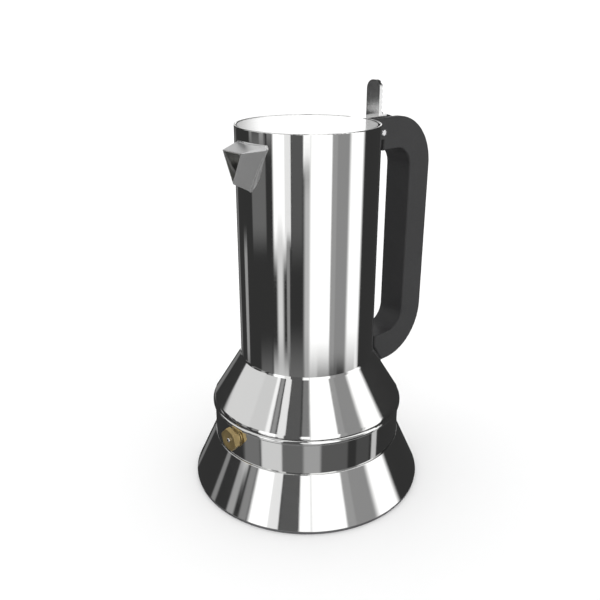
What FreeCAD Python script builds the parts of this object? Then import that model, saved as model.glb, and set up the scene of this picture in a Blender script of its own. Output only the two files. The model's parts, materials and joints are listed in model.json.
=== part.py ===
import FreeCAD, Part
import math
import os
import re
import Sketcher

# Stove-top coffee pot with a conical boiler, a cylindrical upper vessel, a hinged lid with a
# thumb lever, and a loop handle that also works the latch between the two vessels.
# Millimetres, +Z up. The origin is the centre of the boiler's flat base. The spout points
# along -X and the handle along +X.

DRIVING = {
    # sheet metal
    "wall": 1.1,
    "thin_wall": 0.7,
    # boiler: flared base, straight collar, rolled lip, neck with a mouth flange
    "cap_radius": 61.3,
    "cap_height": 1.4,
    "cap_round": 0.6,
    "diffuser_radius": 58.5,
    "base_radius": 61.8,
    "base_top_radius": 50.2,
    "base_top_height": 27.0,
    "base_edge_round": 0.45,
    "floor_low": 4.4,
    "floor_sheet": 1.0,
    "collar_radius": 49.7,
    "collar_groove": 0.5,
    "lip_radius": 50.7,
    "lip_low": 43.8,
    "lip_high": 46.4,
    "lip_round": 1.2,
    "lip_under": 0.7,
    "neck_radius": 34.6,
    "neck_inner": 33.5,
    "mouth_radius": 38.3,
    "mouth_low": 54.4,
    "mouth_high": 56.0,
    # safety valve in the collar, below the spout
    "valve_height": 38.1,
    "valve_shank": 3.95,
    "valve_thread_hole": 4.0,
    "valve_inner_end": 43.6,
    "valve_washer_radius": 4.9,
    "valve_washer_out": 51.1,
    "valve_hex_out": 53.8,
    "valve_hex_across": 10.6,
    "valve_hex_round": 0.25,
    "valve_turn": 18.0,
    "valve_chamber": 2.7,
    "valve_chamber_out": 52.4,
    "valve_pin_hole": 1.28,
    "valve_pin": 1.2,
    "valve_pin_out": 54.2,
    "valve_head": 2.3,
    "valve_seat_out": 44.8,
    "valve_nut_in": 45.2,
    "valve_nut_out": 48.2,
    "spring_coil": 1.95,
    "spring_wire": 0.22,
    "spring_pitch": 0.94,
    "spring_turns": 5.0,
    # coffee funnel
    "funnel_flange": 36.0,
    "funnel_flange_low": 56.1,
    "funnel_flange_high": 56.8,
    "funnel_radius": 32.9,
    "funnel_knee": 23.4,
    "funnel_hub": 18.4,
    "stem_radius": 5.0,
    "stem_low": 8.8,
    "stem_high": 20.4,
    "sieve_height": 24.4,
    "sieve_hole": 0.8,
    "sieve_pitch": 5.6,
    # upper vessel
    "rim_radius": 35.0,
    "rim_height": 189.7,
    "rim_round": 0.4,
    "knee_height": 72.3,
    "knee_round": 2.5,
    "skirt_radius": 49.9,
    "skirt_knee": 47.8,
    "skirt_round": 3.2,
    "skirt_low": 46.7,
    "pan_low": 59.4,
    "pan_high": 60.4,
    "seat_inner": 38.9,
    "seat_outer": 39.8,
    "seat_low": 56.4,
    "gasket_inner": 31.2,
    "gasket_low": 56.9,
    "gasket_high": 59.35,
    "plate_low": 57.9,
    "plate_high": 58.5,
    "plate_radius": 34.5,
    "riser_radius": 6.0,
    "riser_bore": 5.0,
    "riser_high": 149.4,
    "head_radius": 7.2,
    "head_low": 144.4,
    "head_shoulder": 152.9,
    "head_high": 156.9,
    "window_half": 2.4,
    "window_low": 149.6,
    "window_high": 152.0,
    # spout: a V-shaped beak on a curved plate
    "spout_out": 45.0,
    "spout_back": 33.0,
    "spout_top_front": 181.5,
    "spout_top_back": 184.1,
    "spout_half_front": 6.85,
    "spout_half_back": 10.1,
    "spout_bevel": 0.7,
    "spout_bevel_drop": 2.0,
    "spout_keel_front": 167.2,
    "spout_keel_back": 161.1,
    "spout_skin": 0.5,
    "spout_plate_radius": 35.8,
    "spout_plate_margin": 0.5,
    "pour_hole": 4.4,
    "pour_height": 175.0,
    # lid and thumb lever
    "lid_radius": 33.3,
    "lid_shift": 0.2,
    "lid_low": 188.45,
    "lid_high": 189.45,
    "tongue_half": 4.4,
    "tongue_out": 51.6,
    "notch_half": 4.8,
    "notch_low": 187.4,
    "knuckle_half": 4.2,
    "knuckle_round": 3.6,
    "lever_front": 45.4,
    "lever_back": 47.8,
    "lever_high": 207.2,
    "lever_foot": 1.0,
    "groove_depth": 0.7,
    "groove_pitch": 2.65,
    "rivet_radius": 0.9,
    "rivet_out": 49.8,
    "rivet_half": 2.3,
    "rivet_high": 0.6,
    "rivet_crown": 0.4,
    # hinge pin, bracket and push-on retainers
    "pin_out": 45.1,
    "pin_height": 181.7,
    "pin_radius": 1.5,
    "pin_bore": 1.56,
    "pin_half": 8.95,
    "pin_tip": 0.8,
    "ear_inner": 4.6,
    "ear_outer": 5.9,
    "ear_round": 4.4,
    "ear_low": 167.4,
    "web_out": 36.6,
    "star_radius": 1.85,
    "star_valley": 1.05,
    "star_thick": 0.55,
    "star_gap": 0.1,
    # handle
    "grip_half": 8.25,
    "grip_out": 84.8,
    "grip_in": 67.9,
    "grip_top": 188.9,
    "grip_arm_low": 172.4,
    "grip_lug": 37.5,
    "grip_lug_low": 177.8,
    "grip_end_top": 46.0,
    "grip_end_low": 45.3,
    "grip_toe": 52.2,
    "grip_bottom": 50.4,
    "grip_chin": 61.0,
    "grip_shelf": 67.4,
    "grip_outer_round": 28.0,
    "grip_inner_round": 11.0,
    "grip_edge": 0.9,
    "hinge_slot_half": 6.2,
    "hinge_slot_out": 50.4,
    "hinge_slot_low": 176.6,
    "lever_slot_half": 5.0,
    "lever_slot_out": 72.4,
    "lever_slot_high": 187.4,
    # latch
    "hook_low": 52.1,
    "hook_high": 54.1,
    "hook_in": 36.3,
    "hook_out": 61.5,
    "hook_half": 3.5,
    "hook_slot_half": 4.5,
    "hook_slot_low": 50.3,
    "hook_slot_high": 56.0,
    "screw_out": 54.7,
    "screw_apart": 4.2,
    "screw_radius": 1.0,
    "screw_head": 1.9,
    "screw_head_deep": 1.0,
    "screw_sunk": 0.15,
    "screw_high": 58.9,
    "screw_slot": 0.5,
    # sprung catch that holds the front of the joint
    "catch_in": 40.1,
    "catch_out": 43.2,
    "catch_low": 50.6,
    "catch_shoulder": 55.4,
    "catch_half": 6.2,
    "bolt_in": 36.5,
    "bolt_out": 42.0,
    "bolt_half": 4.0,
    "bolt_head_half": 5.2,
    "bolt_head_thick": 0.7,
    "bolt_clear": 0.08,
}

doc = FreeCAD.newDocument("coffee_pot")
sheet = doc.addObject("Spreadsheet::Sheet", "dims")
for row, (alias, value) in enumerate(DRIVING.items(), start=1):
    sheet.set(f"A{row}", alias)
    sheet.set(f"B{row}", str(value))
    sheet.setAlias(f"B{row}", alias)
doc.recompute()

nodes = {}


def cells(text):
    """A formula in alias names, written out for the expression engine."""
    return re.sub(r"[a-z_]+", lambda word: f"dims.{word[0]}" if word[0] in DRIVING else word[0], text)


def size(alias):
    return float(getattr(sheet, alias))


# ---------------------------------------------------------------- sketches and features

def new_body(label):
    body = doc.addObject("PartDesign::Body", label)
    body.Label = label
    nodes[label] = body
    return body


def new_sketch(body, plane, offset="0"):
    """A sketch on one of the body's own origin planes, moved along its normal by offset."""
    sketch = body.newObject("Sketcher::SketchObject", f"{body.Label}_sketch")
    support = [item for item in body.Origin.OriginFeatures if item.Role == plane][0]
    sketch.AttachmentSupport = (support, [""])
    sketch.MapMode = "FlatFace"
    sketch.setExpression("AttachmentOffset.Base.z", cells(offset))
    return sketch


def pin_point(sketch, geometry, point, start, across, up):
    """Hold one point of a sketch at two formulas, across and up the sketch."""
    for kind, value, formula in (("DistanceX", start.x, across), ("DistanceY", start.y, up)):
        number = sketch.addConstraint(Sketcher.Constraint(kind, -1, 1, geometry, point, value))
        sketch.setExpression(f"Constraints[{number}]", cells(formula))


def add_polygon(sketch, corners):
    """A closed outline of straight sides. Each corner is a pair of formulas."""
    count = len(corners)
    first = sketch.GeometryCount
    turn = 2 * math.pi / count
    ring = [FreeCAD.Vector(math.cos(i * turn), math.sin(i * turn), 0) for i in range(count)]
    for i in range(count):
        sketch.addGeometry(Part.LineSegment(ring[i], ring[(i + 1) % count]), False)
    for i in range(count):
        following = first + (i + 1) % count
        sketch.addConstraint(Sketcher.Constraint("Coincident", first + i, 2, following, 1))
    for i, (across, up) in enumerate(corners):
        pin_point(sketch, first + i, 1, ring[i], across, up)


def add_circle(sketch, radius, across="0", up="0"):
    centre = FreeCAD.Vector(1, 1, 0)
    geometry = sketch.addGeometry(Part.Circle(centre, FreeCAD.Vector(0, 0, 1), 1), False)
    number = sketch.addConstraint(Sketcher.Constraint("Radius", geometry, 1))
    sketch.setExpression(f"Constraints[{number}]", cells(radius))
    pin_point(sketch, geometry, 3, centre, across, up)


def add_feature(body, kind, sketch, length=None, both_ways=False, reverse=False):
    """Pad or Pocket of a sketch. With no length, a pocket goes through everything."""
    feature = body.newObject(f"PartDesign::{kind}", f"{body.Label}_{kind.lower()}")
    feature.Profile = sketch
    if length is None:
        feature.Type = "ThroughAll"
    else:
        feature.setExpression("Length", cells(length))
    feature.SideType = "Symmetric" if both_ways else "One side"
    feature.Reversed = reverse
    check_change(body, feature, kind == "Pad")
    return feature


def spin(body, kind, corners, axis="V_Axis"):
    """Revolution or Groove of a closed outline in the XZ plane, once round an axis."""
    sketch = new_sketch(body, "XZ_Plane")
    add_polygon(sketch, corners)
    feature = body.newObject(f"PartDesign::{kind}", f"{body.Label}_{kind.lower()}")
    feature.Profile = sketch
    feature.ReferenceAxis = (sketch, [axis])
    feature.Angle = 360
    check_change(body, feature, kind == "Revolution")
    return feature


def cut_solid(body, kind, sizes, base, axis=(0, 0, 1), angle=0):
    """Subtract a primitive, such as a Cylinder, a Cone or a Box, placed by formulas."""
    feature = body.newObject(f"PartDesign::Subtractive{kind}", f"{body.Label}_{kind.lower()}")
    for name, formula in sizes.items():
        feature.setExpression(name, cells(formula))
    rotation = FreeCAD.Rotation(FreeCAD.Vector(*axis), angle)
    feature.Placement = FreeCAD.Placement(FreeCAD.Vector(), rotation)
    for letter, formula in zip("xyz", base):
        feature.setExpression(f"Placement.Base.{letter}", cells(formula))
    check_change(body, feature, False)
    return feature


def check_change(body, feature, grows):
    """Stop if a feature leaves the solid's volume as it was, or changes it the wrong way."""
    doc.recompute()
    base = feature.BaseFeature
    before = base.Shape.Volume if base else 0.0
    after = feature.Shape.Volume
    if (after - before) * (1 if grows else -1) < 1e-6:
        raise RuntimeError(f"{body.Label}: {feature.Name} changes the volume {before} to {after}")


def round_edges(body, edges, radius, kind="Fillet"):
    """Fillet or Chamfer the named edges of the body's last feature."""
    if not edges:
        raise RuntimeError(f"{body.Label}: no edge found to round")
    base = body.Tip
    feature = body.newObject(f"PartDesign::{kind}", f"{body.Label}_{kind.lower()}")
    feature.Base = (base, edges)
    feature.setExpression("Radius" if kind == "Fillet" else "Size", cells(radius))
    doc.recompute()
    if not feature.Shape.isValid() or abs(feature.Shape.Volume - base.Shape.Volume) < 1e-6:
        raise RuntimeError(f"{body.Label}: the {kind.lower()} failed")


def edges_where(body, wanted):
    return [f"Edge{i}" for i, edge in enumerate(body.Tip.Shape.Edges, start=1) if wanted(edge)]


def ring_edges(body, radius, height):
    """Whole circles about Z of one radius at one height."""
    def wanted(edge):
        if not isinstance(edge.Curve, Part.Circle):
            return False
        off = math.hypot(edge.Curve.Center.x, edge.Curve.Center.y)
        level = abs(edge.Curve.Center.z - height) < 1e-3
        return off < 1e-3 and level and abs(edge.Curve.Radius - radius) < 1e-3
    return edges_where(body, wanted)


def cross_edges(body, x, z):
    """Straight edges along Y through one point of the XZ plane."""
    def wanted(edge):
        ends = [vertex.Point for vertex in edge.Vertexes]
        return len(ends) == 2 and all(math.hypot(p.x - x, p.z - z) < 1e-3 for p in ends)
    return edges_where(body, wanted)


def revolved(label, corners):
    body = new_body(label)
    spin(body, "Revolution", corners)
    return body


def ring(label, inner, outer, low, high):
    return revolved(label, [(inner, low), (outer, low), (outer, high), (inner, high)])


def hexagon(across_flats):
    """Corners of a hexagon, the first turned from the upright as the valve is when tightened."""
    angles = [math.radians(size("valve_turn")) + i * math.pi / 3 for i in range(6)]
    reach = f"{across_flats} / sqrt(3)"
    return [(f"{reach} * {math.cos(a):.9f}", f"{reach} * {math.sin(a):.9f}") for a in angles]


def perforate(body, depth, first_ring, last_ring):
    """Rings of round holes about Z, six more in each ring than in the one inside it."""
    for number in range(first_ring, last_ring + 1):
        sketch = new_sketch(body, "XY_Plane", depth)
        add_circle(sketch, "sieve_hole", f"sieve_pitch * {number}")
        pocket = add_feature(body, "Pocket", sketch, both_ways=True)
        pattern = body.newObject("PartDesign::PolarPattern", f"{body.Label}_ring")
        pattern.Originals = [pocket]
        pattern.Axis = (sketch, ["N_Axis"])
        pattern.Angle = 360
        pattern.Occurrences = 6 * number
        body.Tip = pattern
        check_change(body, pattern, False)


def group(label, members):
    """One node made of several separate solids."""
    compound = doc.addObject("Part::Compound", label)
    compound.Label = label
    compound.Links = members
    for member in members:
        nodes.pop(member.Label, None)
    nodes[label] = compound


def lay_radially(body):
    """Turn a piece made about Z so that its axis runs out along -X at the valve's height."""
    turn = FreeCAD.Rotation(FreeCAD.Vector(0, 1, 0), -90)
    body.Placement = FreeCAD.Placement(FreeCAD.Vector(), turn)
    body.setExpression("Placement.Base.z", cells("valve_height"))


# ---------------------------------------------------------------- boiler

BASE_SLOPE = "(base_radius - base_top_radius) / (base_top_height - cap_height)"


def base_inside(height):
    """Radius of the flared base's inner face at a height."""
    return f"base_radius - wall - ({height} - cap_height) * {BASE_SLOPE}"


def make_base():
    cap = ring("base_cap", "0", "cap_radius", "0", "cap_height")
    round_edges(cap, ring_edges(cap, size("cap_radius"), 0), "cap_round")
    ring("diffuser_disc", "0", "diffuser_radius", "cap_height", "floor_low")
    base = revolved("boiler_base", [
        ("0", "floor_low"),
        (base_inside("floor_low"), "floor_low"),
        ("base_radius - wall", "cap_height"),
        ("base_radius", "cap_height"),
        ("base_top_radius", "base_top_height"),
        ("base_top_radius - wall", "base_top_height"),
        (base_inside("floor_low + floor_sheet"), "floor_low + floor_sheet"),
        ("0", "floor_low + floor_sheet"),
    ])
    edges = ring_edges(base, size("base_top_radius"), size("base_top_height"))
    edges += ring_edges(base, size("base_radius"), size("cap_height"))
    round_edges(base, edges, "base_edge_round")


def make_collar():
    collar = revolved("boiler_collar", [
        ("collar_radius - wall", "base_top_height"),
        ("collar_radius - collar_groove", "base_top_height"),
        ("collar_radius - collar_groove", "base_top_height + collar_groove"),
        ("collar_radius", "base_top_height + 1.4 * collar_groove"),
        ("collar_radius", "lip_low"),
        ("lip_radius", "lip_low"),
        ("lip_radius", "lip_high"),
        ("neck_radius", "lip_high"),
        ("neck_radius", "mouth_low"),
        ("mouth_radius", "mouth_low"),
        ("mouth_radius", "mouth_high"),
        ("neck_inner", "mouth_high"),
        ("neck_inner", "lip_high - wall"),
        ("collar_radius - wall", "lip_high - wall"),
    ])
    round_edges(collar, ring_edges(collar, size("lip_radius"), size("lip_high")), "lip_round")
    round_edges(collar, ring_edges(collar, size("lip_radius"), size("lip_low")), "lip_under")
    cut_solid(
        collar, "Cylinder", {"Radius": "valve_thread_hole", "Height": "collar_radius"},
        ("0", "0", "valve_height"), (0, 1, 0), -90,
    )


def make_valve():
    washer = ring(
        "valve_washer", "valve_thread_hole", "valve_washer_radius", "collar_radius", "valve_washer_out",
    )
    lay_radially(washer)

    body = new_body("valve_body")
    head = new_sketch(body, "XY_Plane", "valve_washer_out")
    add_polygon(head, hexagon("valve_hex_across"))
    add_feature(body, "Pad", head, "valve_hex_out - valve_washer_out")
    shank = new_sketch(body, "XY_Plane", "valve_inner_end")
    add_circle(shank, "valve_shank")
    add_feature(body, "Pad", shank, "valve_washer_out - valve_inner_end")
    flat = "valve_hex_across / 2"
    spin(body, "Groove", [
        (f"{flat} + valve_hex_round", "valve_hex_out"),
        (f"{flat} + 2", "valve_hex_out - 1"),
        (f"{flat} + 2", "valve_hex_out + 1"),
        (f"{flat} + valve_hex_round", "valve_hex_out + 1"),
    ])
    spin(body, "Groove", [
        ("0", "valve_inner_end - 1"),
        ("valve_chamber", "valve_inner_end - 1"),
        ("valve_chamber", "valve_chamber_out"),
        ("valve_pin_hole", "valve_chamber_out"),
        ("valve_pin_hole", "valve_hex_out - 0.6"),
        (f"{flat} - 1", "valve_hex_out"),
        (f"{flat} - 1", "valve_hex_out + 1"),
        ("0", "valve_hex_out + 1"),
    ])
    lay_radially(body)

    nut = new_body("valve_nut")
    outline = new_sketch(nut, "XY_Plane", "valve_nut_in")
    add_polygon(outline, hexagon("valve_hex_across"))
    add_circle(outline, "valve_thread_hole")
    add_feature(nut, "Pad", outline, "valve_nut_out - valve_nut_in")
    lay_radially(nut)

    seat = ring("valve_seat", "valve_pin_hole", "valve_chamber", "valve_inner_end", "valve_seat_out")
    lay_radially(seat)

    plunger = revolved("valve_plunger", [
        ("0", "valve_seat_out"),
        ("valve_head", "valve_seat_out"),
        ("valve_head", "valve_seat_out + 1"),
        ("valve_pin", "valve_seat_out + 1"),
        ("valve_pin", "valve_pin_out"),
        ("0", "valve_pin_out"),
    ])
    round_edges(plunger, ring_edges(plunger, size("valve_pin"), size("valve_pin_out")), "valve_pin / 2")
    lay_radially(plunger)

    spring = new_body("valve_spring")
    wire = new_sketch(spring, "XZ_Plane")
    add_circle(wire, "spring_wire", "spring_coil", "valve_seat_out + 1 + spring_wire")
    coil = spring.newObject("PartDesign::AdditiveHelix", "valve_spring_helix")
    coil.Profile = wire
    coil.ReferenceAxis = (wire, ["V_Axis"])
    coil.Mode = "pitch-turns-angle"
    coil.setExpression("Pitch", cells("spring_pitch"))
    coil.setExpression("Turns", cells("spring_turns"))
    check_change(spring, coil, True)
    lay_radially(spring)


# ---------------------------------------------------------------- funnel

def make_funnel():
    inner = "funnel_radius - thin_wall"
    revolved("funnel_cup", [
        ("funnel_radius", "funnel_flange_low"),
        ("funnel_flange", "funnel_flange_low"),
        ("funnel_flange", "funnel_flange_high"),
        (inner, "funnel_flange_high"),
        (inner, "funnel_knee + thin_wall / 2"),
        ("stem_radius", "funnel_hub + thin_wall"),
        ("stem_radius", "funnel_hub"),
        ("funnel_radius", "funnel_knee"),
    ])
    ring("funnel_stem", "stem_radius - thin_wall", "stem_radius", "stem_low", "stem_high")
    sieve = ring("funnel_sieve", "0", f"{inner} - 0.1", "sieve_height", "sieve_height + thin_wall")
    perforate(sieve, "sieve_height", 1, 5)


# ---------------------------------------------------------------- upper vessel

def make_vessel():
    shell = revolved("vessel_shell", [
        ("rim_radius", "rim_height"),
        ("rim_radius", "knee_height"),
        ("skirt_radius", "skirt_knee"),
        ("skirt_radius", "skirt_low"),
        ("skirt_radius - wall", "skirt_low"),
        ("skirt_radius - wall", "skirt_knee - wall / 2"),
        ("rim_radius - wall", "knee_height - wall / 2"),
        ("rim_radius - wall", "rim_height"),
    ])
    round_edges(shell, ring_edges(shell, size("rim_radius"), size("knee_height")), "knee_round")
    round_edges(shell, ring_edges(shell, size("skirt_radius"), size("skirt_knee")), "skirt_round")
    rim = ring_edges(shell, size("rim_radius"), size("rim_height"))
    rim += ring_edges(shell, size("rim_radius") - size("wall"), size("rim_height"))
    round_edges(shell, rim, "rim_round")
    cut_solid(
        shell, "Box", {"Length": "rim_radius", "Width": "2 * notch_half", "Height": "rim_height"},
        ("rim_radius - 3", "-notch_half", "notch_low"),
    )
    cut_solid(
        shell, "Box",
        {"Length": "rim_radius", "Width": "2 * hook_slot_half", "Height": "hook_slot_high - hook_slot_low"},
        ("rim_radius", "-hook_slot_half", "hook_slot_low"),
    )
    cut_solid(
        shell, "Cylinder", {"Radius": "pour_hole", "Height": "spout_out"},
        ("0", "0", "pour_height"), (0, 1, 0), -90,
    )


def make_pan():
    """Floor of the upper vessel, with the ring that holds the gasket."""
    slope = "(skirt_radius - rim_radius) / (knee_height - skirt_knee)"
    edge = f"rim_radius - wall - 0.1 + (knee_height - wall / 2 - pan_high) * {slope}"
    revolved("vessel_floor", [
        ("riser_radius", "pan_low"),
        ("seat_inner", "pan_low"),
        ("seat_inner", "seat_low"),
        ("seat_outer", "seat_low"),
        ("seat_outer", "pan_low"),
        (edge, "pan_low"),
        (edge, "pan_high"),
        ("riser_radius", "pan_high"),
    ])
    gasket = revolved("gasket", [
        ("gasket_inner", "gasket_low"),
        ("seat_inner - 0.1", "gasket_low"),
        ("seat_inner - 0.1", "gasket_high"),
        ("gasket_inner", "gasket_high"),
        ("gasket_inner", "plate_high"),
        ("plate_radius", "plate_high"),
        ("plate_radius", "plate_low"),
        ("gasket_inner", "plate_low"),
    ])
    round_edges(gasket, ring_edges(gasket, size("seat_inner") - 0.1, size("gasket_low")), "thin_wall / 2")
    plate = ring("filter_plate", "0", "plate_radius", "plate_low", "plate_high")
    perforate(plate, "plate_low", 1, 4)


def make_riser():
    ring("riser_tube", "riser_bore", "riser_radius", "plate_high + 0.3", "riser_high")
    head = revolved("riser_head", [
        ("riser_radius", "head_low"),
        ("head_radius", "head_low"),
        ("head_radius", "head_shoulder"),
        ("0", "head_high"),
        ("0", "head_high - 1.3"),
        ("riser_radius", "head_shoulder - 0.8"),
    ])
    cut_solid(
        head, "Box",
        {"Length": "2 * window_half", "Width": "4 * head_radius", "Height": "window_high - window_low"},
        ("-window_half", "-2 * head_radius", "window_low"),
    )


def beak_section(inset, half, top, keel):
    """Five corners of a V section: flat top, two small bevels and a keel, all moved in by inset."""
    across = f"({half} - 1.3 * {inset})"
    side = f"({half} + spout_bevel * ({half} - spout_half_front) / (spout_half_back - spout_half_front)"
    side += f" + 0.05 - 1.45 * {inset})"
    drop = f"({top} - 0.05 - spout_bevel_drop * ({half} - spout_half_front)"
    drop += f" / (spout_half_back - spout_half_front) - {inset})"
    return [
        (f"-{across}", f"{top} - {inset}"),
        (f"-{side}", drop),
        ("0", f"{keel} + 2.2 * {inset}"),
        (side, drop),
        (across, f"{top} - {inset}"),
    ]


def loft(body, kind, near, near_section, far, far_section):
    """Straight-sided loft between two sections across X."""
    sections = []
    for place, corners in ((near, near_section), (far, far_section)):
        sketch = new_sketch(body, "YZ_Plane", place)
        add_polygon(sketch, corners)
        sections.append(sketch)
    feature = body.newObject(f"PartDesign::{kind}Loft", f"{body.Label}_loft")
    feature.Profile = sections[0]
    feature.Sections = [sections[1]]
    feature.Ruled = True
    check_change(body, feature, kind == "Additive")


def make_spout():
    front = ("spout_half_front", "spout_top_front", "spout_keel_front")
    back = ("spout_half_back", "spout_top_back", "spout_keel_back")
    spout = new_body("spout")
    loft(
        spout, "Additive",
        "-spout_back", beak_section("0", *back),
        "-spout_out", beak_section("0", *front),
    )
    loft(
        spout, "Subtractive",
        "-spout_back", beak_section("spout_skin", *back),
        "-spout_out", beak_section("spout_skin", *front),
    )
    cut_solid(
        spout, "Cylinder", {"Radius": "spout_plate_radius", "Height": "rim_height"}, ("0", "0", "0"),
    )

    def at_plate(near, far):
        """A size of the beak where it meets the plate, between its far and near sections."""
        share = "(spout_plate_radius - spout_back) / (spout_out - spout_back)"
        return f"({far} + ({near} - {far}) * {share})"

    plate = new_body("spout_plate")
    sketch = new_sketch(plate, "YZ_Plane", "-spout_back + 2")
    outline = [at_plate(near, far) for near, far in zip(front, back)]
    outline[2] = f"({outline[2]} + spout_plate_margin)"
    add_polygon(sketch, beak_section("(-spout_plate_margin)", *outline))
    add_feature(plate, "Pad", sketch, "6", reverse=True)
    cut_solid(plate, "Cylinder", {"Radius": "rim_radius", "Height": "rim_height"}, ("0", "0", "0"))
    spin(plate, "Groove", [
        ("spout_plate_radius", "knee_height"),
        ("spout_plate_radius + 9", "knee_height"),
        ("spout_plate_radius + 9", "rim_height"),
        ("spout_plate_radius", "rim_height"),
    ])
    cut_solid(
        plate, "Cylinder", {"Radius": "pour_hole", "Height": "spout_out"},
        ("0", "0", "pour_height"), (0, 1, 0), -90,
    )


def make_catch():
    """Sprung bolt under the mouth flange at the front, and the housing that it slides in."""
    housing = new_body("catch_housing")
    side = new_sketch(housing, "XZ_Plane")
    add_polygon(side, [
        ("-catch_in", "catch_low"),
        ("-catch_in", "pan_low"),
        ("-catch_in - 0.7", "pan_low"),
        ("-catch_out", "catch_shoulder"),
        ("-catch_out", "catch_low"),
    ])
    add_feature(housing, "Pad", side, "2 * catch_half", both_ways=True)
    low = "hook_low - bolt_clear"
    high = "hook_high - hook_low + 2 * bolt_clear"
    cut_solid(
        housing, "Box",
        {"Length": "catch_half", "Width": "2 * bolt_half + 2 * bolt_clear", "Height": high},
        ("-catch_out - 1", "-bolt_half - bolt_clear", low),
    )
    cut_solid(
        housing, "Box",
        {
            "Length": "catch_half",
            "Width": "2 * bolt_head_half + 2 * bolt_clear",
            "Height": high,
        },
        ("-bolt_out + bolt_head_thick + bolt_clear - catch_half", "-bolt_head_half - bolt_clear", low),
    )

    bolt = new_body("catch_bolt")
    nose = new_sketch(bolt, "XZ_Plane")
    add_polygon(nose, [
        ("-bolt_out", "hook_low"),
        ("-bolt_in - 1.5", "hook_low"),
        ("-bolt_in", "hook_low + 0.7"),
        ("-bolt_in", "hook_high - 0.7"),
        ("-bolt_in - 1.5", "hook_high"),
        ("-bolt_out", "hook_high"),
    ])
    add_feature(bolt, "Pad", nose, "2 * bolt_half", both_ways=True)
    head = new_sketch(bolt, "XY_Plane", "hook_low")
    add_polygon(head, [
        ("-bolt_out", "-bolt_head_half"),
        ("-bolt_out + bolt_head_thick", "-bolt_head_half"),
        ("-bolt_out + bolt_head_thick", "bolt_head_half"),
        ("-bolt_out", "bolt_head_half"),
    ])
    add_feature(bolt, "Pad", head, "hook_high - hook_low")


# ---------------------------------------------------------------- hinge

def make_bracket():
    """Steel channel welded to the vessel: two ears round the hinge pin and a web between them."""
    bracket = new_body("hinge_bracket")
    side = new_sketch(bracket, "XZ_Plane")
    add_polygon(side, [
        ("rim_radius - 3", "ear_low"),
        ("web_out + 3", "ear_low"),
        ("pin_out - 1.5", "pin_height - ear_round"),
        ("pin_out + ear_round", "pin_height - ear_round"),
        ("pin_out + ear_round", "pin_height + ear_round"),
        ("web_out", "notch_low - 0.2"),
        ("rim_radius - 3", "notch_low - 0.2"),
    ])
    add_feature(bracket, "Pad", side, "2 * ear_outer", both_ways=True)
    corners = [size("pin_height") - size("ear_round"), size("pin_height") + size("ear_round")]
    end = size("pin_out") + size("ear_round")
    round_edges(bracket, [name for z in corners for name in cross_edges(bracket, end, z)], "ear_round - 0.2")
    gap = new_sketch(bracket, "XZ_Plane")
    add_polygon(gap, [
        ("web_out", "ear_low - 5"),
        ("grip_out", "ear_low - 5"),
        ("grip_out", "rim_height"),
        ("web_out", "rim_height"),
    ])
    add_feature(bracket, "Pocket", gap, "2 * ear_inner", both_ways=True)
    bore = new_sketch(bracket, "XZ_Plane")
    add_circle(bore, "pin_radius", "pin_out", "pin_height")
    add_feature(bracket, "Pocket", bore, both_ways=True)
    cut_solid(bracket, "Cylinder", {"Radius": "rim_radius", "Height": "rim_height"}, ("0", "0", "0"))


def make_pin():
    pin = new_body("hinge_pin")
    for radius, half in (("pin_radius", "grip_half"), ("pin_tip", "pin_half")):
        sketch = new_sketch(pin, "XZ_Plane")
        add_circle(sketch, radius, "pin_out", "pin_height")
        add_feature(pin, "Pad", sketch, f"2 * {half}", both_ways=True)

    retainers = []
    points = 8
    for name, side in (("retainer_near", -1), ("retainer_far", 1)):
        star = new_body(name)
        middle = f"({side}) * (grip_half + star_gap + star_thick / 2)"
        sketch = new_sketch(star, "XZ_Plane", f"-({middle}) - star_thick / 2")
        corners = []
        for i in range(2 * points):
            reach = "star_radius" if i % 2 == 0 else "star_valley"
            angle = math.pi * (i + 0.5) / points
            corners.append((
                f"pin_out + {reach} * {math.cos(angle):.9f}",
                f"pin_height + {reach} * {math.sin(angle):.9f}",
            ))
        add_polygon(sketch, corners)
        add_circle(sketch, "pin_tip", "pin_out", "pin_height")
        add_feature(star, "Pad", sketch, "star_thick")
        retainers.append(star)
    group("pin_retainers", retainers)


# ---------------------------------------------------------------- lid

def make_lid():
    disc = new_body("lid_disc")
    sketch = new_sketch(disc, "XY_Plane", "lid_low")
    add_circle(sketch, "lid_radius", "-lid_shift")
    add_feature(disc, "Pad", sketch, "lid_high - lid_low")
    tongue = new_sketch(disc, "XY_Plane", "lid_low")
    add_polygon(tongue, [
        ("lid_radius / 2", "-tongue_half"),
        ("tongue_out", "-tongue_half"),
        ("tongue_out", "tongue_half"),
        ("lid_radius / 2", "tongue_half"),
    ])
    add_feature(disc, "Pad", tongue, "lid_high - lid_low")

    knuckle = new_body("lid_knuckle")
    side = new_sketch(knuckle, "XZ_Plane")
    add_polygon(side, [
        ("pin_out - knuckle_round", "pin_height - knuckle_round"),
        ("pin_out + knuckle_round", "pin_height - knuckle_round"),
        ("pin_out + knuckle_round", "lid_low"),
        ("pin_out - knuckle_round", "lid_low"),
    ])
    add_feature(knuckle, "Pad", side, "2 * knuckle_half", both_ways=True)
    low = size("pin_height") - size("knuckle_round")
    ends = [size("pin_out") - size("knuckle_round"), size("pin_out") + size("knuckle_round")]
    round_edges(knuckle, [name for x in ends for name in cross_edges(knuckle, x, low)], "knuckle_round - 0.1")
    bore = new_sketch(knuckle, "XZ_Plane")
    add_circle(bore, "pin_bore", "pin_out", "pin_height")
    add_feature(knuckle, "Pocket", bore, both_ways=True)


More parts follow.
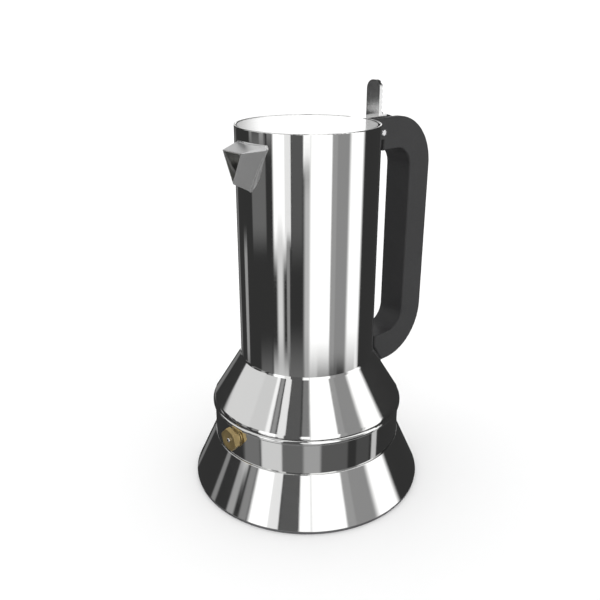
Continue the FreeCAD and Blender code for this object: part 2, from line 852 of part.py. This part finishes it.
def make_lever():
    lever = new_body("thumb_lever")
    blade = new_sketch(lever, "YZ_Plane", "lever_front")
    add_polygon(blade, [
        ("-tongue_half", "lid_high"),
        ("tongue_half", "lid_high"),
        ("tongue_half", "lever_high"),
        ("-tongue_half", "lever_high"),
    ])
    add_feature(lever, "Pad", blade, "lever_back - lever_front")

    def top_corner(edge):
        ends = [vertex.Point for vertex in edge.Vertexes]
        high = all(abs(p.z - size("lever_high")) < 1e-3 for p in ends)
        return high and abs(ends[0].y - ends[-1].y) < 1e-3
    round_edges(lever, edges_where(lever, top_corner), "tongue_half - 0.1")
    for i in range(6):
        notch = new_sketch(lever, "XZ_Plane")
        level = f"lever_high - 1.6 - {i} * groove_pitch"
        add_polygon(notch, [
            ("lever_back - groove_depth", level),
            ("lever_back + 1", f"{level} + 0.9 * groove_pitch / 2 * (1 + groove_depth)"),
            ("lever_back + 1", f"{level} - 0.9 * groove_pitch / 2 * (1 + groove_depth)"),
        ])
        add_feature(lever, "Pocket", notch, both_ways=True)
    foot = new_sketch(lever, "XY_Plane", "lid_high")
    add_polygon(foot, [
        ("lever_front", "-tongue_half"),
        ("tongue_out - 0.2", "-tongue_half"),
        ("tongue_out - 0.2", "tongue_half"),
        ("lever_front", "tongue_half"),
    ])
    add_feature(lever, "Pad", foot, "lever_foot")

    rivets = []
    for name, side in (("rivet_near", -1), ("rivet_far", 1)):
        rivet = new_body(name)
        sketch = new_sketch(rivet, "XY_Plane", "lid_high + lever_foot")
        add_circle(sketch, "rivet_radius", "rivet_out", f"({side}) * rivet_half")
        add_feature(rivet, "Pad", sketch, "rivet_high")
        top = size("lid_high") + size("lever_foot") + size("rivet_high")
        crown = edges_where(rivet, lambda edge: all(abs(v.Point.z - top) < 1e-3 for v in edge.Vertexes))
        round_edges(rivet, crown, "rivet_crown")
        rivets.append(rivet)
    group("lever_rivets", rivets)


# ---------------------------------------------------------------- handle and latch

def make_grip():
    grip = new_body("handle_grip")
    side = new_sketch(grip, "XZ_Plane")
    add_polygon(side, [
        ("grip_lug", "grip_top"),
        ("grip_lug", "grip_lug_low"),
        ("grip_end_top", "grip_lug_low"),
        ("grip_end_top", "grip_arm_low"),
        ("grip_in", "grip_arm_low"),
        ("grip_in", "grip_shelf"),
        ("grip_end_low", "grip_shelf"),
        ("grip_end_low", "grip_chin"),
        ("grip_toe", "grip_bottom"),
        ("grip_out", "grip_bottom"),
        ("grip_out", "grip_top"),
    ])
    add_feature(grip, "Pad", side, "2 * grip_half", both_ways=True)
    outer = cross_edges(grip, size("grip_out"), size("grip_top"))
    outer += cross_edges(grip, size("grip_out"), size("grip_bottom"))
    round_edges(grip, outer, "grip_outer_round")
    inner = cross_edges(grip, size("grip_in"), size("grip_arm_low"))
    inner += cross_edges(grip, size("grip_in"), size("grip_shelf"))
    round_edges(grip, inner, "grip_inner_round")

    def side_rim(edge):
        half = size("grip_half")
        return all(abs(abs(vertex.Point.y) - half) < 1e-3 for vertex in edge.Vertexes) and (
            abs(edge.Vertexes[0].Point.y - edge.Vertexes[-1].Point.y) < 1e-3
        )
    round_edges(grip, edges_where(grip, side_rim), "grip_edge")

    hinge_slot = new_sketch(grip, "XZ_Plane")
    add_polygon(hinge_slot, [
        ("grip_lug - 5", "hinge_slot_low"),
        ("hinge_slot_out", "hinge_slot_low"),
        ("hinge_slot_out", "grip_top + 5"),
        ("grip_lug - 5", "grip_top + 5"),
    ])
    add_feature(grip, "Pocket", hinge_slot, "2 * hinge_slot_half", both_ways=True)
    lever_slot = new_sketch(grip, "XZ_Plane")
    add_polygon(lever_slot, [
        ("hinge_slot_out - 3", "hinge_slot_low"),
        ("hinge_slot_out + 4", "hinge_slot_low"),
        ("lever_slot_out", "lever_slot_high"),
        ("lever_slot_out", "grip_top + 8"),
        ("hinge_slot_out - 3", "grip_top + 8"),
    ])
    add_feature(grip, "Pocket", lever_slot, "2 * lever_slot_half", both_ways=True)
    bore = new_sketch(grip, "XZ_Plane")
    add_circle(bore, "pin_bore", "pin_out", "pin_height")
    add_feature(grip, "Pocket", bore, both_ways=True)

    cut_solid(
        grip, "Box",
        {
            "Length": "hook_out - grip_end_low + 3",
            "Width": "2 * hook_half + 0.2",
            "Height": "hook_high - hook_low",
        },
        ("grip_end_low - 3", "-hook_half - 0.1", "hook_low"),
    )
    for number in range(2):
        place = (f"screw_out + {number} * screw_apart", "0")
        cut_solid(
            grip, "Cylinder", {"Radius": "screw_radius", "Height": "screw_high - grip_bottom + 1"},
            (*place, "grip_bottom - 1"),
        )
        cut_solid(
            grip, "Cone",
            {"Radius1": "screw_head", "Radius2": "screw_radius", "Height": "screw_head_deep"},
            (*place, "grip_bottom + screw_sunk"),
        )
        cut_solid(
            grip, "Cylinder", {"Radius": "screw_head", "Height": "screw_sunk + 1"},
            (*place, "grip_bottom - 1"),
        )


def make_latch():
    hook = new_body("latch_hook")
    side = new_sketch(hook, "XZ_Plane")
    add_polygon(side, [
        ("hook_in", "hook_low + 0.7"),
        ("hook_in + 1.5", "hook_low"),
        ("hook_out", "hook_low"),
        ("hook_out", "hook_high"),
        ("hook_in", "hook_high"),
    ])
    add_feature(hook, "Pad", side, "2 * hook_half", both_ways=True)
    screws = []
    for number, name in enumerate(("screw_inner", "screw_outer")):
        place = (f"screw_out + {number} * screw_apart", "0")
        cut_solid(hook, "Cylinder", {"Radius": "screw_radius", "Height": "screw_high"}, (*place, "0"))
        screw = revolved(name, [
            ("0", "grip_bottom + screw_sunk"),
            ("screw_head", "grip_bottom + screw_sunk"),
            ("screw_radius", "grip_bottom + screw_sunk + screw_head_deep"),
            ("screw_radius", "screw_high"),
            ("0", "screw_high"),
        ])
        slot = {"Length": "4 * screw_head", "Width": "screw_slot", "Height": "screw_slot"}
        cut_solid(screw, "Box", slot, ("-2 * screw_head", "-screw_slot / 2", "grip_bottom"))
        screw.setExpression("Placement.Base.x", cells(place[0]))
        screws.append(screw)
    group("latch_screws", screws)


# ---------------------------------------------------------------- build, check, write

make_base()
make_collar()
make_valve()
make_funnel()
make_vessel()
make_pan()
make_riser()
make_spout()
make_catch()
make_bracket()
make_pin()
make_lid()
make_lever()
make_grip()
make_latch()
doc.recompute()

for item in doc.Objects:
    if {"Invalid", "Error"} & set(item.State):
        raise RuntimeError(f"{item.Label} did not compute: {item.State}")
for label, item in nodes.items():
    shape = item.Shape
    if shape.isNull() or not shape.isValid() or not shape.Solids:
        raise RuntimeError(f"{label} is not a valid solid")

os.makedirs("parts", exist_ok=True)
for label, item in nodes.items():
    item.Shape.exportStep(os.path.join("parts", f"{label}.step"))
    print(f"{label}: {len(item.Shape.Solids)} solid, {item.Shape.Volume:.1f} mm3")
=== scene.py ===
import json
import math

import bpy
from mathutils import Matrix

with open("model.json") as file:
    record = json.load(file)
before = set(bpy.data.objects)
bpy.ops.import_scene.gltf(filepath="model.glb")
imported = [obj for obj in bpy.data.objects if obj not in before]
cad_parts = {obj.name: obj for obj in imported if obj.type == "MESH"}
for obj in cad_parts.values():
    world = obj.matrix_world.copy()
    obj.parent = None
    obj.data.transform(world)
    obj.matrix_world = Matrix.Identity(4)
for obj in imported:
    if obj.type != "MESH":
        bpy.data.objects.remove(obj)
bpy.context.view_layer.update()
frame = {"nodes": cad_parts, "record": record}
NODES = frame["nodes"]

# The spout's V section where the beak begins, inside the vessel's wall, and at its mouth: distance
# in front of the axis, half width, and the heights of its top and keel. Then its sheet's
# thickness. All in metres.
SPOUT_BACK = {"x": 0.0330, "half": 0.0101, "top": 0.1841, "keel": 0.1611}
SPOUT_FRONT = {"x": 0.0450, "half": 0.00685, "top": 0.1815, "keel": 0.1672}
SPOUT_SKIN = 0.0005

# Painted shade inside the spout, deep inside and at the mouth: dark at the mouth, lighter deep
# inside to offset the shadow that falls there.
DEEP_PAINTED_SHADE = (0.34, 0.34, 0.32)
MOUTH_PAINTED_SHADE = (0.105, 0.105, 0.097)


# ---------------------------------------------------------------- camera

# Solved from the ellipses of the pot's outline. Metres, millimetres for the lens, and degrees.
CAMERA_PLACE = (-0.2282, -0.2447, 0.2340)
CAMERA_LENS = 41.595
CAMERA_TILT = 68.137
CAMERA_TURN = -42.391


def make_camera():
    """Camera a third of a metre from the axis, a little above the lever, looking 22 degrees down."""
    data = bpy.data.cameras.new("camera")
    data.lens = CAMERA_LENS
    data.sensor_width = 36.0
    data.clip_start = 0.01
    data.clip_end = 20.0
    camera = bpy.data.objects.new("camera", data)
    camera.location = CAMERA_PLACE
    camera.rotation_euler = (math.radians(CAMERA_TILT), 0.0, math.radians(CAMERA_TURN))
    bpy.context.scene.collection.objects.link(camera)
    bpy.context.scene.camera = camera


# ---------------------------------------------------------------- studio

# The front of the studio is where the camera stands; angles grow to the camera's right.
FRONT_TURN = math.radians(90 - CAMERA_TURN)

# Half the floor's side, and how far it lies under the pot, so that they don't share a plane.
FLOOR_HALF = 40.0
FLOOR_DROP = 0.0001

# Strength of the soft ambient light at the horizon and high up, the sine of the elevation where it
# stops falling, and the strength of the plain backdrop.
HORIZON_LIGHT = 2.6
ZENITH_LIGHT = 0.70
ZENITH_SINE = 0.9
BACKDROP_LIGHT = 1.2

# Brightness of the gaps between the panels and of the brightest panels. Elevations past straight up
# and straight down, for panels that reach them.
DARK_ROOM = 0.038
WHITE = 1.4
SKY = 95
GROUND = -95

# What stands round the studio, as the mirrors see it. Each panel has a name, its left and right
# edges, in degrees from the front toward the right, its lower and upper edges, in degrees of
# elevation, its brightness, and the degrees over which its edges fade. A later panel covers an
# earlier one.
PANELS = [
    # floor side, below everything
    ("floor_glow", -181, 181, GROUND, -42, 0.25, 5),
    ("floor_left", -84, -60, -42, -27, 0.19, 5),
    ("floor_left_window", -58, -30, -42, -27, 0.74, 4),
    ("floor_middle", -30, 20, -42, -26, 0.16, 5),
    ("floor_middle_window", -4, 17, -42, -26, 0.42, 5),
    ("floor_right", 19, 52, -42, -26, 0.115, 4),
    ("floor_right_shade", 64, 84, -42, -26, 0.08, 4),
    ("floor_right_edge", 88, 97, -42, -26, 0.62, 3),
    # far side, behind the pot
    ("back_left", -181, -163, -26, 16, WHITE, 4),
    ("back_right", 163, 181, -26, 16, WHITE, 4),
    ("back_high_left", -181, -160, 16, SKY, 0.55, 4),
    ("back_high_right", 160, 181, 16, SKY, 0.55, 4),
    ("back_grey", -176, -168, 3, 16, 0.42, 3),
    ("back_edge", -156, -145, -26, -8, 0.20, 4),
    # above
    ("ceiling", -181, 181, 54, SKY, 0.90, 8),
    # left side
    ("left_low", -124, -115, -27, -17, 0.36, 3),
    ("left_shade", -97, -68, -17, -8, 0.16, 3),
    ("left_slit", -101, -95, -9, 14, 0.28, 3),
    ("left_mullion", -79, -71, -9, 14, 0.40, 3),
    ("left_frame", -65, -57, -9, 14, 0.28, 3),
    ("left_wall_far", -116, -68, 4, SKY, 0.80, 4),
    ("left_wall_near", -72, -50, 14, SKY, 0.74, 5),
    ("left_window", -55, -33, -18, 17, WHITE, 5),
    ("left_window_foot", -49, -39, -27, -16, 0.80, 6),
    ("left_window_head", -51, -45, 15, SKY, 1.15, 3),
    ("left_curtain", -43.5, -38, 17, SKY, 0.34, 3),
    ("left_pane", -36, -26, -17, SKY, 0.98, 1.5),
    ("left_pane_foot", -33, -28, -27, -17, 0.30, 2),
    # front
    ("front_post", -25, -8, -18, SKY, 0.11, 4),
    ("front_lamp", -7, 4, -11, 20, 1.30, 2.5),
    ("front_shade", -6, 3, 21, SKY, 0.24, 3),
    ("front_lamp_foot", -5, 6, -27, -11, 0.60, 6),
    ("front_window", 4, 38, -27, SKY, WHITE, 5),
    # right side
    ("right_wall", 39, 70, -27, SKY, 0.31, 2),
    ("right_wall_edge", 38, 46, -27, SKY, 0.38, 2.5),
    ("right_window", 68.5, 95.5, -27, SKY, WHITE, 8),
]


def make_world():
    """Pale studio. Mirrors see the panels, matte surfaces get soft light, the camera sees white."""
    world = bpy.data.worlds.new("studio")
    bpy.context.scene.world = world
    world.use_nodes = True
    tree = world.node_tree
    tree.nodes.clear()
    node = tree.nodes.new
    link = tree.links.new

    def math_node(operation, first, second=None):
        made = node("ShaderNodeMath")
        made.operation = operation
        for index, value in enumerate((first, second)):
            if isinstance(value, (int, float)):
                made.inputs[index].default_value = value
            elif value is not None:
                link(value, made.inputs[index])
        return made.outputs[0]

    def rising(value, start, end, low=0.0, high=1.0):
        """Smooth step of a value from low at start to high at end."""
        made = node("ShaderNodeMapRange")
        made.interpolation_type = "SMOOTHSTEP"
        made.inputs["From Min"].default_value = start
        made.inputs["From Max"].default_value = end
        made.inputs["To Min"].default_value = low
        made.inputs["To Max"].default_value = high
        link(value, made.inputs["Value"])
        return made.outputs["Result"]

    def between(value, low, high, soft):
        """One inside a range of degrees, zero outside, with soft ends."""
        middle = (low + high) / 2
        half = (high - low) / 2
        off = math_node("ABSOLUTE", math_node("SUBTRACT", value, middle))
        return rising(off, half - soft / 2, half + soft / 2, 1.0, 0.0)

    coords = node("ShaderNodeTexCoord")
    turn = node("ShaderNodeMapping")
    turn.inputs["Rotation"].default_value = (0, 0, FRONT_TURN)
    link(coords.outputs["Generated"], turn.inputs["Vector"])
    split = node("ShaderNodeSeparateXYZ")
    link(turn.outputs["Vector"], split.inputs["Vector"])
    in_degrees = 180 / math.pi
    heading = math_node("ARCTAN2", split.outputs["Y"], split.outputs["X"])
    heading = math_node("MULTIPLY", heading, in_degrees)
    rise = math_node("MULTIPLY", math_node("ARCSINE", split.outputs["Z"]), in_degrees)

    level = None
    for name, left, right, low, high, bright, soft in PANELS:
        across = between(heading, left, right, soft)
        inside = math_node("MULTIPLY", across, between(rise, low, high, soft))
        cover = node("ShaderNodeMix")
        cover.name = name
        cover.data_type = "FLOAT"
        link(inside, cover.inputs[0])
        if level is None:
            cover.inputs[2].default_value = DARK_ROOM
        else:
            link(level, cover.inputs[2])
        cover.inputs[3].default_value = bright
        level = cover.outputs[0]

    panels = node("ShaderNodeBackground")
    link(level, panels.inputs["Color"])
    # Soft ambient light comes mostly from near the horizon, as from large boxes beside the set.
    ambient = node("ShaderNodeBackground")
    ambient.inputs["Color"].default_value = (1, 1, 1, 1)
    height = math_node("ABSOLUTE", split.outputs["Z"])
    strength = rising(height, 0.0, ZENITH_SINE, HORIZON_LIGHT, ZENITH_LIGHT)
    link(strength, ambient.inputs["Strength"])
    backdrop = node("ShaderNodeBackground")
    backdrop.inputs["Color"].default_value = (1, 1, 1, 1)
    backdrop.inputs["Strength"].default_value = BACKDROP_LIGHT
    path = node("ShaderNodeLightPath")
    lit = node("ShaderNodeMixShader")
    link(path.outputs["Is Camera Ray"], lit.inputs["Fac"])
    link(ambient.outputs["Background"], lit.inputs[1])
    link(backdrop.outputs["Background"], lit.inputs[2])
    choose = node("ShaderNodeMixShader")
    link(path.outputs["Is Glossy Ray"], choose.inputs["Fac"])
    link(lit.outputs["Shader"], choose.inputs[1])
    link(panels.outputs["Background"], choose.inputs[2])
    out = node("ShaderNodeOutputWorld")
    link(choose.outputs["Shader"], out.inputs["Surface"])


def make_floor():
    """Pale floor that the pot stands on. It stays out of the mirrors, which see the panels."""
    mesh = bpy.data.meshes.new("floor")
    half = FLOOR_HALF
    corners = [(-half, -half, 0), (half, -half, 0), (half, half, 0), (-half, half, 0)]
    mesh.from_pydata(corners, [], [(0, 1, 2, 3)])
    floor = bpy.data.objects.new("floor", mesh)
    floor.location.z = -FLOOR_DROP
    bpy.context.scene.collection.objects.link(floor)
    material = bpy.data.materials.new("floor_paper")
    material.use_nodes = True
    shader = material.node_tree.nodes["Principled BSDF"]
    shader.inputs["Base Color"].default_value = (0.95, 0.95, 0.95, 1)
    shader.inputs["Roughness"].default_value = 1.0
    shader.inputs["Specular IOR Level"].default_value = 0.0
    mesh.materials.append(material)
    floor.visible_glossy = False


# ---------------------------------------------------------------- materials

class Shader:
    """A Principled material with short ways to wire textures into it."""

    def __init__(self, name):
        self.material = bpy.data.materials.new(name)
        self.material.use_nodes = True
        self.tree = self.material.node_tree
        self.bsdf = self.tree.nodes["Principled BSDF"]

    def new(self, kind, **settings):
        node = self.tree.nodes.new(f"ShaderNode{kind}")
        for name, value in settings.items():
            setattr(node, name, value)
        return node

    def link(self, source, target):
        self.tree.links.new(source, target)

    def set(self, **values):
        for name, value in values.items():
            self.bsdf.inputs[name.replace("_", " ")].default_value = value

    def math(self, operation, first, second=None):
        node = self.new("Math", operation=operation)
        for index, value in enumerate((first, second)):
            if value is None:
                continue
            if isinstance(value, (int, float)):
                node.inputs[index].default_value = value
            else:
                self.link(value, node.inputs[index])
        return node.outputs[0]

    def object_point(self):
        return self.new("TexCoord").outputs["Object"]

    def stretched(self, scale):
        mapping = self.new("Mapping")
        mapping.inputs["Scale"].default_value = scale
        self.link(self.object_point(), mapping.inputs["Vector"])
        return mapping.outputs["Vector"]

    def ring_point(self, pitch):
        """Distance from the pot's axis and height, for marks that run round the axis."""
        split = self.new("SeparateXYZ")
        self.link(self.object_point(), split.inputs["Vector"])
        squares = [self.math("POWER", split.outputs[letter], 2.0) for letter in "XY"]
        distance = self.math("SQRT", self.math("ADD", *squares))
        radius = self.math("MULTIPLY", distance, pitch)
        height = self.math("MULTIPLY", split.outputs["Z"], pitch)
        join = self.new("CombineXYZ")
        self.link(radius, join.inputs["X"])
        self.link(height, join.inputs["Z"])
        return join.outputs["Vector"]

    def noise(self, vector, scale, detail=2.0, roughness=0.5):
        node = self.new("TexNoise")
        node.inputs["Scale"].default_value = scale
        node.inputs["Detail"].default_value = detail
        node.inputs["Roughness"].default_value = roughness
        self.link(vector, node.inputs["Vector"])
        return node.outputs["Fac"]

    def spread(self, value, low, high, start=0.3, end=0.7):
        """Map a value from its own range, such as a noise's, to low and high."""
        node = self.new("MapRange")
        node.inputs["From Min"].default_value = start
        node.inputs["From Max"].default_value = end
        node.inputs["To Min"].default_value = low
        node.inputs["To Max"].default_value = high
        self.link(value, node.inputs["Value"])
        return node.outputs["Result"]

    def blend(self, value, first, second):
        node = self.new("Mix", data_type="RGBA")
        node.inputs[6].default_value = (*first, 1)
        node.inputs[7].default_value = (*second, 1)
        self.link(value, node.inputs[0])
        return node.outputs[2]

    def bump(self, height, distance):
        node = self.new("Bump")
        node.inputs["Distance"].default_value = distance
        node.inputs["Strength"].default_value = 1.0
        self.link(height, node.inputs["Height"])
        return node.outputs["Normal"]

    def wire(self, **sources):
        for name, source in sources.items():
            self.link(source, self.bsdf.inputs[name.replace("_", " ")])


def polished(name, tone, rough_low, rough_high, wave):
    """Mirror-polished sheet: faint unevenness from drawing, and fine wiping marks in the gloss."""
    s = Shader(name)
    s.set(Metallic=1.0)
    cloud = s.noise(s.object_point(), 28, 2.0)
    s.wire(Base_Color=s.blend(cloud, [tone * 0.97] * 3, [tone, tone, tone * 0.985]))
    smear = s.noise(s.stretched((60, 60, 420)), 3.0, 4.0, 0.6)
    s.wire(Roughness=s.spread(smear, rough_low, rough_high))
    swell = s.noise(s.stretched((1, 1, 0.35)), 34, 1.0)
    s.wire(Normal=s.bump(swell, wave))
    return s.material


def cast_spout(name, tone, rough_low, rough_high):
    """Satin steel, bright outside and matte inside with painted shade: dark at the mouth, lighter
    deep in to offset the shadow there.
    """
    s = Shader(name)
    split = s.new("SeparateXYZ")
    s.link(s.object_point(), split.inputs["Vector"])
    along = s.new("MapRange")
    along.inputs["From Min"].default_value = -SPOUT_BACK["x"]
    along.inputs["From Max"].default_value = -SPOUT_FRONT["x"]
    s.link(split.outputs["X"], along.inputs["Value"])

    def between_ends(size):
        """A size of the V section at a point's place along the beak."""
        span = SPOUT_FRONT[size] - SPOUT_BACK[size]
        return s.math("ADD", s.math("MULTIPLY", along.outputs["Result"], span), SPOUT_BACK[size])

    above = s.math("SUBTRACT", split.outputs["Z"], between_ends("keel"))
    depth = s.math("SUBTRACT", between_ends("top"), between_ends("keel"))
    half = s.math("MULTIPLY", between_ends("half"), s.math("DIVIDE", above, depth))
    wall = s.math("SUBTRACT", half, s.math("ABSOLUTE", split.outputs["Y"]))
    roof = s.math("SUBTRACT", between_ends("top"), split.outputs["Z"])
    room = s.math("MINIMUM", wall, roof)
    inside = s.spread(room, 0.0, 1.0, SPOUT_SKIN * 0.5, SPOUT_SKIN * 0.8)
    cloud = s.noise(s.object_point(), 90, 3.0)
    bright = s.blend(cloud, [tone * 0.95] * 3, [tone] * 3)
    # Painted shade for the inside of the beak, blended from lighter deep inside to dark at the
    # mouth.
    painted_shade = s.blend(along.outputs["Result"], DEEP_PAINTED_SHADE, MOUTH_PAINTED_SHADE)
    mix = s.new("Mix", data_type="RGBA")
    s.link(inside, mix.inputs[0])
    s.link(bright, mix.inputs[6])
    s.link(painted_shade, mix.inputs[7])
    smear = s.noise(s.stretched((300, 300, 900)), 1.0, 3.0, 0.6)
    satin = s.spread(smear, rough_low, rough_high)
    rough = s.math("ADD", satin, s.math("MULTIPLY", inside, 0.5))
    s.wire(Base_Color=mix.outputs[2], Metallic=s.math("SUBTRACT", 1.0, inside), Roughness=rough)
    return s.material


def turned(name, tone, roughness, pitch=2600, depth=0.00002):
    """Satin metal with fine marks that run round the pot's axis."""
    s = Shader(name)
    s.set(Metallic=1.0)
    marks = s.noise(s.ring_point(pitch), 1.0, 3.0, 0.6)
    s.wire(Base_Color=s.blend(marks, [c * 0.88 for c in tone], tone))
    s.wire(Roughness=s.spread(marks, roughness * 0.8, roughness * 1.25))
    s.wire(Normal=s.bump(marks, depth))
    return s.material


def linished(name, tone, roughness, scale, depth=0.000015):
    """Metal with straight fine scratches, long in one direction."""
    s = Shader(name)
    s.set(Metallic=1.0)
    marks = s.noise(s.stretched(scale), 1.0, 4.0, 0.65)
    s.wire(Base_Color=s.blend(marks, [c * 0.85 for c in tone], tone))
    s.wire(Roughness=s.spread(marks, roughness * 0.75, roughness * 1.3))
    s.wire(Normal=s.bump(marks, depth))
    return s.material


def moulded(name, dark, light, rough_low, rough_high, grain, depth, sheen=0.0):
    """Moulded plastic or rubber with a fine, even grain."""
    s = Shader(name)
    s.set(Metallic=0.0)
    cloud = s.noise(s.object_point(), 60, 3.0)
    s.wire(Base_Color=s.blend(cloud, dark, light))
    pits = s.noise(s.object_point(), grain, 2.0, 0.7)
    s.wire(Roughness=s.spread(pits, rough_low, rough_high))
    s.wire(Normal=s.bump(pits, depth))
    if sheen:
        s.set(Sheen_Weight=sheen)
    return s.material


def make_materials():
    """One finish for each material slot of the record."""
    return {
        "polished_steel": polished("polished_steel", 0.80, 0.035, 0.075, 0.00004),
        "lid_steel": polished("lid_steel", 0.82, 0.16, 0.20, 0.00001),
        "spout_steel": cast_spout("spout_steel", 0.84, 0.33, 0.38),
        "base_steel": turned("base_steel", (0.30, 0.30, 0.31), 0.42),
        "satin_steel": turned("satin_steel", (0.66, 0.66, 0.66), 0.30),
        "spring_steel": linished("spring_steel", (0.74, 0.74, 0.75), 0.22, (900, 900, 5000)),
        "lever_steel": linished("lever_steel", (0.72, 0.72, 0.72), 0.16, (300, 6000, 300)),
        "aluminium": turned("aluminium", (0.80, 0.80, 0.81), 0.40),
        "brass": linished("brass", (0.55, 0.42, 0.20), 0.45, (400, 2500, 2500)),
        "silicone": moulded(
            "silicone", (0.74, 0.73, 0.69), (0.82, 0.81, 0.78), 0.45, 0.6, 1800, 0.00002, 0.15
        ),
        "black_grip": moulded(
            "black_grip", (0.016, 0.016, 0.017), (0.022, 0.022, 0.023), 0.42, 0.62, 2600, 0.00003
        ),
    }


def dress_nodes(materials):
    """Give every CAD node the finish that its slot in the record names."""
    for part in frame["record"]["subparts"]:
        for place in NODES[part["node"]].material_slots:
            place.material = materials[part["material_slot"]]


# ---------------------------------------------------------------- build

scene = bpy.context.scene
scene.view_settings.view_transform = "Standard"
scene.view_settings.look = "None"

make_camera()
make_world()
make_floor()
finishes = make_materials()
dress_nodes(finishes)
